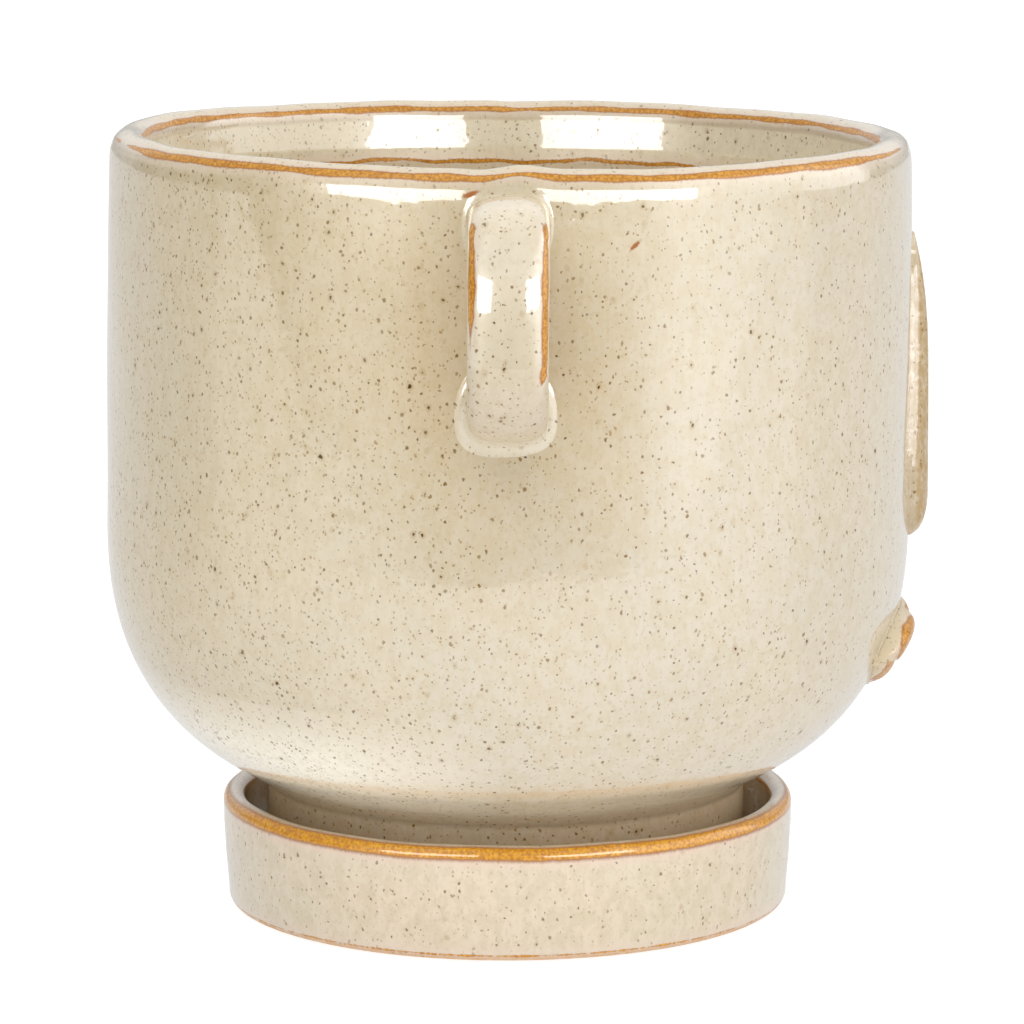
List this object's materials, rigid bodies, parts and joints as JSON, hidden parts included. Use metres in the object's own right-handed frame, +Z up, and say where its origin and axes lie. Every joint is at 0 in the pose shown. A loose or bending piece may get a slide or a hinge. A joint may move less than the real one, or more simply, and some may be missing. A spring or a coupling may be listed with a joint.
{
  "type": "face planter",
  "caption": "Round glazed planter with a relief nose, relief lips and loop handles as ears, standing loose in a deep matching saucer.",
  "frame": {"origin": "middle of the underside of the saucer, on the planter's axis", "axes": "+Z up along the planter's axis; the face looks along -Y; the ears stand out along -X and +X, the planter's own right ear along -X"},
  "size_m": [0.2418, 0.1956, 0.185],
  "materials": {
    "speckled_glaze": "gloss",
    "saucer_glaze": "gloss"
  },
  "bodies": {
    "saucer": {"saucer": "saucer_glaze"},
    "pot": {"pot_body": "speckled_glaze", "right_ear": "speckled_glaze", "left_ear": "speckled_glaze", "nose": "speckled_glaze", "upper_lip": "speckled_glaze", "lower_lip": "speckled_glaze"}
  },
  "joints": [
    {"name": "pot_lift", "type": "slide", "parent": "saucer", "child": "pot", "axis": [0, 0, 1], "range_m": [0, 0.1]}
  ]
}
